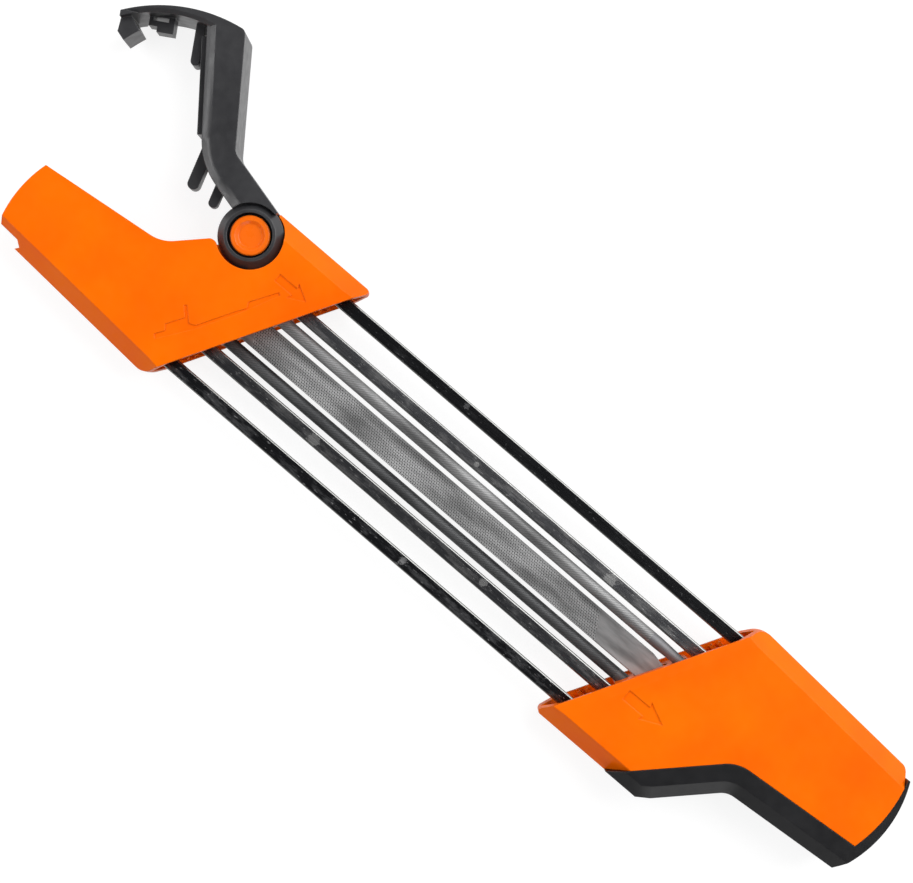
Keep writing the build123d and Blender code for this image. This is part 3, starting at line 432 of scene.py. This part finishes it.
# %% [markdown]
# ## Skins over the solids
# A solid arrives as loose triangles with hard facets. Its skin is a copy whose
# corners are joined again. Smooth shading between sharp edges then hides the facets
# of the rounds, and area-weighted normals keep the flats flat.

# %% Join the triangles
def skin(node):
    """A solid's triangles as one closed mesh in a new object, with no normals of their own."""
    solid = frame["nodes"][node].data
    mesh = bpy.data.meshes.new(node + "_skin")
    mesh.from_pydata([v.co for v in solid.vertices], [], [face.vertices[:] for face in solid.polygons])
    work = bmesh.new()
    work.from_mesh(mesh)
    bmesh.ops.remove_doubles(work, verts=work.verts, dist=0.0005 * MM)
    work.to_mesh(mesh)
    work.free()
    piece = bpy.data.objects.new(node + "_skin", mesh)
    bpy.context.scene.collection.objects.link(piece)
    return piece


# %% Bake and smooth a skin
rounds_below = radians(28)


def baked(piece):
    """Turns a piece's modifiers into plain mesh."""
    graph = bpy.context.evaluated_depsgraph_get()
    mesh = bpy.data.meshes.new_from_object(piece.evaluated_get(graph), preserve_all_data_layers=True,
                                           depsgraph=graph)
    piece.modifiers.clear()
    piece.data = mesh
    return piece


def smoothed(piece):
    """Smooth rounds, sharp corners, and flats that stay flat."""
    piece.data.shade_smooth()
    piece.data.set_sharp_from_angle(angle=rounds_below)
    weighting = piece.modifiers.new("weighting", "WEIGHTED_NORMAL")
    weighting.keep_sharp = True
    return baked(piece)


# %% Hand a piece to its body
def finished(piece, finish, node):
    """Gives a piece its finish and lets it stand for its solid."""
    piece.data.materials.clear()
    piece.data.materials.append(finish)
    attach(piece, body_of[node])
    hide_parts(node)
    print(piece.name, "faces:", len(piece.data.polygons), "on", body_of[node])


# %% [markdown]
# ## Relief in the handles
# The moulds leave shallow marks in the upper faces: an arrow on each handle for the
# filing stroke, and on the front one a stepped groove along the mouth. They are
# cut as thin prisms, 0.35 mm deep, so light and shade come from real walls.

# %% Outlines of the marks, in millimetres
# The outer corners of an arrow's head lie this far behind its neck.
barb = 0.8


def arrow(tail, tip, half_shaft, head, half_head):
    """The outline of an arrow between two plan points."""
    length = ((tip[0] - tail[0]) ** 2 + (tip[1] - tail[1]) ** 2) ** 0.5
    ahead = ((tip[0] - tail[0]) / length, (tip[1] - tail[1]) / length)
    neck = length - head
    spots = [(0, half_shaft), (neck, half_shaft), (neck - barb, half_head), (length, 0),
             (neck - barb, -half_head), (neck, -half_shaft), (0, -half_shaft)]
    return [(tail[0] + a * ahead[0] - o * ahead[1], tail[1] + a * ahead[1] + o * ahead[0])
            for a, o in spots]


front_groove = [
    (-2.6, -24.4), (-0.4, -20.9), (-1.9, -19.0), (2.1, -12.6), (-1.1, -9.4), (-0.2, -8.6), (4.6, -13.2),
    (6.9, -12.3), (15.0, 1.6), (17.1, 4.6), (16.0, 6.7), (22.2, 16.6), (23.2, 16.0), (15.9, 0.9),
    (7.5, -13.6), (-1.2, -25.6),
]
front_arrow = arrow((18.2, 20.4), (32.0, 20.4), half_shaft=1.6, head=5.6, half_head=3.4)
rear_arrow = arrow((213.4, -12.3), (230.7, -12.2), half_shaft=2.1, head=7.6, half_head=3.9)
print("corners of the groove:", len(front_groove), "and of each arrow:", len(rear_arrow))

# %% Cut shallow marks
handle_top_mm = 24.0
mark_depth_mm = 0.35


def engraved(piece, outlines):
    """Sinks closed outlines into the top face of a handle."""
    work = bmesh.new()
    for outline in outlines:
        floor = (handle_top_mm - mark_depth_mm) * MM
        face = work.faces.new([work.verts.new((x * MM, y * MM, floor)) for x, y in outline])
        risen = bmesh.ops.extrude_face_region(work, geom=[face])["geom"]
        bmesh.ops.translate(work, verts=[v for v in risen if isinstance(v, bmesh.types.BMVert)],
                            vec=(0, 0, 3 * mark_depth_mm * MM))
    bmesh.ops.recalc_face_normals(work, faces=work.faces)
    mesh = bpy.data.meshes.new("marks")
    work.to_mesh(mesh)
    work.free()
    marks = bpy.data.objects.new("marks", mesh)
    bpy.context.scene.collection.objects.link(marks)
    cut = piece.modifiers.new("cut", "BOOLEAN")
    cut.operation = "DIFFERENCE"
    cut.solver = "EXACT"
    cut.object = marks
    baked(piece)
    bpy.data.objects.remove(marks)
    return piece


front_upper = engraved(skin("front_handle_upper"), [front_groove, front_arrow])
rear_upper = engraved(skin("rear_handle_upper"), [rear_arrow])
finished(smoothed(front_upper), orange_abs, "front_handle_upper")
finished(smoothed(rear_upper), orange_abs, "rear_handle_upper")

# %% The other moulded pieces and the hardware
for node in ["front_handle_lower", "rear_handle_lower", "rear_grip_insert", "lever", "release_button",
             "pivot_cap", "front_file_locator", "rear_file_locator", "pivot_sleeve", "button_spring",
             "front_bar_pins", "rear_bar_pins"]:
    finish = grip_nylon if node == "rear_grip_insert" else finish_of[slot_of[node]]
    finished(smoothed(skin(node)), finish, node)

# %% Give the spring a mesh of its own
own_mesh(bpy.data.objects["button_spring_skin"])

# %% Four bars, each with its own wear
for node, finish in bar_finish.items():
    finished(smoothed(skin(node)), finish, node)

# %% [markdown]
# ## Files with cut teeth
# A file's teeth follow a rule: a chisel cut repeated at one pitch, slanting one way
# on a round file and both ways on the flat one. A Geometry Nodes tree can follow
# the same rule. It wraps a grid round the file's section, and sinks the grid's
# points wherever a cut passes. The grid has three points to a tooth both ways, so
# every tooth comes out alike.
# Real cuts are about 0.6 mm apart. These are drawn at 0.84 mm and 0.9 mm, because
# anything finer falls between the pixels.
# The same tree makes round and flat files, because only the section differs.

# %% Build the tree that cuts files
file_tree = bpy.data.node_groups.new("cut_file", "GeometryNodeTree")
file_tree.is_modifier = True
file_tree.interface.new_socket("Geometry", in_out="OUTPUT", socket_type="NodeSocketGeometry")
for name, kind, start in [
    ("Start", "Vector", (0, 0, 0)), ("Length", "Float", 240 * MM), ("Width", "Float", 4.8 * MM),
    ("Thickness", "Float", 4.8 * MM), ("Corner", "Float", 2.3 * MM), ("Rings", "Int", 803),
    ("Sides", "Int", 42), ("Pitch", "Float", 0.9 * MM), ("Turns", "Float", 14.0),
    ("Crossing", "Float", 0.0), ("Cut Depth", "Float", 0.16 * MM), ("Cut From", "Float", 0.0),
    ("Cut To", "Float", 200 * MM), ("Border Lean", "Float", 0.0), ("Tang Length", "Float", 20 * MM),
    ("Tang Width", "Float", 0.6), ("Tang Thickness", "Float", 0.6), ("Edge Safe", "Float", 0.0),
    ("Finish", "Material", None),
]:
    socket = file_tree.interface.new_socket(name, in_out="INPUT", socket_type="NodeSocket" + kind)
    if start is not None:
        socket.default_value = start
asked = add_node(file_tree, "NodeGroupInput").outputs
print("inputs:", [socket.name for socket in asked if socket.name])

# %% A flat grid: one row of points round the file for each ring along it
last_ring = add_node(file_tree, "ShaderNodeMath", {0: asked["Rings"], 1: 1}, operation="SUBTRACT")
rows = add_node(file_tree, "ShaderNodeMath", {0: asked["Sides"], 1: 1}, operation="ADD")
grid = add_node(file_tree, "GeometryNodeMeshGrid", {"Size X": 1.0, "Size Y": 1.0,
                "Vertices X": asked["Rings"], "Vertices Y": rows})
grid_place = add_node(file_tree, "GeometryNodeInputPosition")
on_grid = add_node(file_tree, "ShaderNodeSeparateXYZ", {0: grid_place}).outputs
ring = add_node(file_tree, "ShaderNodeMath", {0: on_grid["X"], 1: 0.5}, operation="ADD")
ring = add_node(file_tree, "ShaderNodeMath", {0: ring, 1: last_ring}, operation="MULTIPLY")
ring = add_node(file_tree, "ShaderNodeMath", {0: ring}, operation="ROUND")
around = add_node(file_tree, "ShaderNodeMath", {0: on_grid["Y"], 1: 0.5}, operation="ADD")
print("grid nodes:", len(file_tree.nodes))

# %% How far along each ring lies
# The first and the last ring close the ends, so they lie where their neighbours do.
runs = add_node(file_tree, "ShaderNodeMath", {0: asked["Rings"], 1: 3}, operation="SUBTRACT")
run = add_node(file_tree, "ShaderNodeMath", {0: ring, 1: 1}, operation="SUBTRACT")
run = add_node(file_tree, "ShaderNodeMath", {0: run, 1: 0}, operation="MAXIMUM")
run = add_node(file_tree, "ShaderNodeMath", {0: run, 1: runs}, operation="MINIMUM")
share = add_node(file_tree, "ShaderNodeMath", {0: run, 1: runs}, operation="DIVIDE")
along = add_node(file_tree, "ShaderNodeMath", {0: share, 1: asked["Length"]}, operation="MULTIPLY")
print("nodes so far:", len(file_tree.nodes))

# %% The section, sampled around
outline = add_node(file_tree, "GeometryNodeCurvePrimitiveQuadrilateral",
                   {"Width": asked["Width"], "Height": asked["Thickness"]})
section = add_node(file_tree, "GeometryNodeFilletCurve",
                   {"Curve": outline, "Radius": asked["Corner"], "Count": 10}, mode="POLY")
on_section = add_node(file_tree, "GeometryNodeSampleCurve", {"Curves": section, "Factor": around},
                      mode="FACTOR")
across = add_node(file_tree, "ShaderNodeSeparateXYZ", {0: on_section.outputs["Position"]}).outputs
heading = add_node(file_tree, "ShaderNodeSeparateXYZ", {0: on_section.outputs["Tangent"]}).outputs
out_y = heading["Y"]
out_z = add_node(file_tree, "ShaderNodeMath", {0: heading["X"], 1: -1}, operation="MULTIPLY")
print("nodes with the section:", len(file_tree.nodes))

# %% Where the chisel passes
cut_slope = 3.0
# Half a pitch puts a cut on each whole number, and the thousand keep the count above 0.
pitches_added = 1000.5


def chisel(phase):
    """1 on the line of a cut, 0 on the crest, from a place counted in pitches."""
    shifted = add_node(file_tree, "ShaderNodeMath", {0: phase, 1: pitches_added}, operation="ADD")
    within = add_node(file_tree, "ShaderNodeMath", {0: shifted}, operation="FRACT")
    off = add_node(file_tree, "ShaderNodeMath", {0: within, 1: 0.5}, operation="SUBTRACT")
    swing = add_node(file_tree, "ShaderNodeMath", {0: off}, operation="ABSOLUTE")
    rise = add_node(file_tree, "ShaderNodeMath", {0: swing, 1: cut_slope}, operation="MULTIPLY")
    depth = add_node(file_tree, "ShaderNodeMath", {0: 1, 1: rise}, operation="SUBTRACT")
    return add_node(file_tree, "ShaderNodeMath", {0: depth, 1: 0}, operation="MAXIMUM")


straight = add_node(file_tree, "ShaderNodeMath", {0: along, 1: asked["Pitch"]}, operation="DIVIDE")
turned = add_node(file_tree, "ShaderNodeMath", {0: around, 1: asked["Turns"]}, operation="MULTIPLY")
one_way = add_node(file_tree, "ShaderNodeMath", {0: straight, 1: turned}, operation="ADD")
other_way = add_node(file_tree, "ShaderNodeMath", {0: straight, 1: turned}, operation="SUBTRACT")
first_cut = chisel(one_way)
second_cut = add_node(file_tree, "ShaderNodeMath", {0: chisel(other_way), 1: asked["Crossing"]},
                      operation="MULTIPLY")
both_cuts = add_node(file_tree, "ShaderNodeMath", {0: first_cut, 1: second_cut}, operation="MAXIMUM")
print("nodes with the cuts:", len(file_tree.nodes))

# %% Where the file stays plain
# The cut ends on a leaning border, and the narrow edges of a flat file are safe.
edge_limit = 0.9
border = add_node(file_tree, "ShaderNodeMath", {0: across["X"], 1: asked["Border Lean"]},
                  operation="MULTIPLY")
border = add_node(file_tree, "ShaderNodeMath", {0: along, 1: border}, operation="ADD")
begun = add_node(file_tree, "ShaderNodeMath", {0: border, 1: asked["Cut From"]}, operation="GREATER_THAN")
not_over = add_node(file_tree, "ShaderNodeMath", {0: border, 1: asked["Cut To"]}, operation="LESS_THAN")
inside = add_node(file_tree, "ShaderNodeMath", {0: begun, 1: not_over}, operation="MULTIPLY")
flatness = add_node(file_tree, "ShaderNodeMath", {0: out_z}, operation="ABSOLUTE")
limit = add_node(file_tree, "ShaderNodeMath", {0: asked["Edge Safe"], 1: edge_limit}, operation="MULTIPLY")
facing = add_node(file_tree, "ShaderNodeMath", {0: flatness, 1: limit}, operation="GREATER_THAN")
field = add_node(file_tree, "ShaderNodeMath", {0: inside, 1: facing}, operation="MULTIPLY")
groove = add_node(file_tree, "ShaderNodeMath", {0: both_cuts, 1: field}, operation="MULTIPLY")
sunk = add_node(file_tree, "ShaderNodeMath", {0: groove, 1: asked["Cut Depth"]}, operation="MULTIPLY")
print("nodes with the plain parts:", len(file_tree.nodes))

# %% Taper to the tang
tang_from = add_node(file_tree, "ShaderNodeMath", {0: asked["Length"], 1: asked["Tang Length"]},
                     operation="SUBTRACT")
on_tang = add_node(file_tree, "ShaderNodeMath", {0: along, 1: tang_from}, operation="SUBTRACT")
on_tang = add_node(file_tree, "ShaderNodeMath", {0: on_tang, 1: asked["Tang Length"]}, operation="DIVIDE")
on_tang = add_node(file_tree, "ShaderNodeMath", {0: on_tang, 1: 0}, operation="MAXIMUM")
widths = []
for end_width in (asked["Tang Width"], asked["Tang Thickness"]):
    lost = add_node(file_tree, "ShaderNodeMath", {0: 1, 1: end_width}, operation="SUBTRACT")
    lost = add_node(file_tree, "ShaderNodeMath", {0: on_tang, 1: lost}, operation="MULTIPLY")
    widths.append(add_node(file_tree, "ShaderNodeMath", {0: 1, 1: lost}, operation="SUBTRACT"))
print("nodes with the tang:", len(file_tree.nodes))

# %% Close and chamfer the ends
# The outermost rings shrink to a point, and the next ones are a little smaller.
rim_fullness = 0.93
between = []
for margin in (0.5, 1.5):
    past = add_node(file_tree, "ShaderNodeMath", {0: ring, 1: margin}, operation="GREATER_THAN")
    end = add_node(file_tree, "ShaderNodeMath", {0: last_ring, 1: margin}, operation="SUBTRACT")
    short = add_node(file_tree, "ShaderNodeMath", {0: ring, 1: end}, operation="LESS_THAN")
    between.append(add_node(file_tree, "ShaderNodeMath", {0: past, 1: short}, operation="MULTIPLY"))
open_end, off_rim = between
fullness = add_node(file_tree, "ShaderNodeMath", {0: off_rim, 1: 1 - rim_fullness}, operation="MULTIPLY")
fullness = add_node(file_tree, "ShaderNodeMath", {0: fullness, 1: rim_fullness}, operation="ADD")
fullness = add_node(file_tree, "ShaderNodeMath", {0: open_end, 1: fullness}, operation="MULTIPLY")
print("nodes with the ends:", len(file_tree.nodes))

# %% Place the points
placed = []
for from_middle, outwards, width in ((across["X"], out_y, widths[0]), (across["Y"], out_z, widths[1])):
    kept = add_node(file_tree, "ShaderNodeMath", {0: fullness, 1: width}, operation="MULTIPLY")
    reach = add_node(file_tree, "ShaderNodeMath", {0: from_middle, 1: kept}, operation="MULTIPLY")
    inwards = add_node(file_tree, "ShaderNodeMath", {0: outwards, 1: sunk}, operation="MULTIPLY")
    placed.append(add_node(file_tree, "ShaderNodeMath", {0: reach, 1: inwards}, operation="SUBTRACT"))
point = add_node(file_tree, "ShaderNodeCombineXYZ", {0: along, 1: placed[0], 2: placed[1]})
point = add_node(file_tree, "ShaderNodeVectorMath", {0: point, 1: asked["Start"]}, operation="ADD")
# The values are kept before the points move, while their places on the grid still hold.
shape = grid
for name, value in (("cut_depth", groove), ("toothed", field)):
    shape = add_node(file_tree, "GeometryNodeStoreNamedAttribute",
                     {"Geometry": shape, "Name": name, "Value": value}, data_type="FLOAT", domain="POINT")
shape = add_node(file_tree, "GeometryNodeSetPosition", {"Geometry": shape, "Position": point})
shape = add_node(file_tree, "GeometryNodeMergeByDistance", {"Geometry": shape, "Distance": 0.002 * MM})
shape = add_node(file_tree, "GeometryNodeRealizeInstances", {"Geometry": shape})
shape = add_node(file_tree, "GeometryNodeSetMaterial", {"Geometry": shape, "Material": asked["Finish"]})
add_node(file_tree, "NodeGroupOutput", {0: shape})
print("tree nodes:", len(file_tree.nodes))

# %% Make a file from the tree
tooth_edges_from = radians(60)
size_inputs = {item.name: item.identifier for item in file_tree.interface.items_tree
               if item.in_out == "INPUT"}


def cut_file(node, sizes):
    """A toothed file that stands for its smooth solid."""
    piece = bpy.data.objects.new(node + "_cut", bpy.data.meshes.new(node + "_cut"))
    bpy.context.scene.collection.objects.link(piece)
    maker = piece.modifiers.new("maker", "NODES")
    maker.node_group = file_tree
    for name, value in sizes.items():
        maker[size_inputs[name]] = value
    baked(piece)
    work = bmesh.new()
    work.from_mesh(piece.data)
    bmesh.ops.recalc_face_normals(work, faces=work.faces)
    work.to_mesh(piece.data)
    work.free()
    piece.data.shade_smooth()
    piece.data.set_sharp_from_angle(angle=tooth_edges_from)
    finished(piece, sizes["Finish"], node)


# %% Three files
round_sizes = {
    "Length": 240 * MM, "Width": 4.8 * MM, "Thickness": 4.8 * MM, "Corner": 2.39 * MM, "Rings": 803,
    "Sides": 42, "Pitch": 0.9 * MM, "Turns": 14.0, "Crossing": 0.0, "Cut Depth": 0.16 * MM,
    "Cut From": 1 * MM, "Cut To": 214.8 * MM, "Border Lean": 0.0, "Tang Length": 21 * MM,
    "Tang Width": 0.625, "Tang Thickness": 0.625, "Edge Safe": 0.0,
}
upper_start = (-7.4 * MM, 9.4 * MM, 14.8 * MM)
lower_start = (-7.4 * MM, -9.4 * MM, 9.2 * MM)
cut_file("round_file_upper", {**round_sizes, "Start": upper_start, "Finish": pale_file})
# The lower file takes the darker copy, which is painted shade.
cut_file("round_file_lower", {**round_sizes, "Start": lower_start, "Finish": painted_shade_file})
cut_file("flat_file", {
    "Start": (-13 * MM, 0.0, 12 * MM), "Length": 240 * MM, "Width": 10.8 * MM, "Thickness": 3.2 * MM,
    "Corner": 0.3 * MM, "Rings": 860, "Sides": 99, "Pitch": 0.84 * MM, "Turns": 33.0, "Crossing": 1.0,
    "Cut Depth": 0.14 * MM, "Cut From": 36.6 * MM, "Cut To": 203.1 * MM, "Border Lean": 0.6,
    "Tang Length": 14 * MM, "Tang Width": 0.463, "Tang Thickness": 1.0, "Edge Safe": 1.0,
    "Finish": flat_finish,
})

# %% [markdown]
# ## Set the view transform
# The Standard transform shows colours as written.

# %% Set the view transform
bpy.context.scene.view_settings.view_transform = "Standard"
bpy.context.view_layer.update()
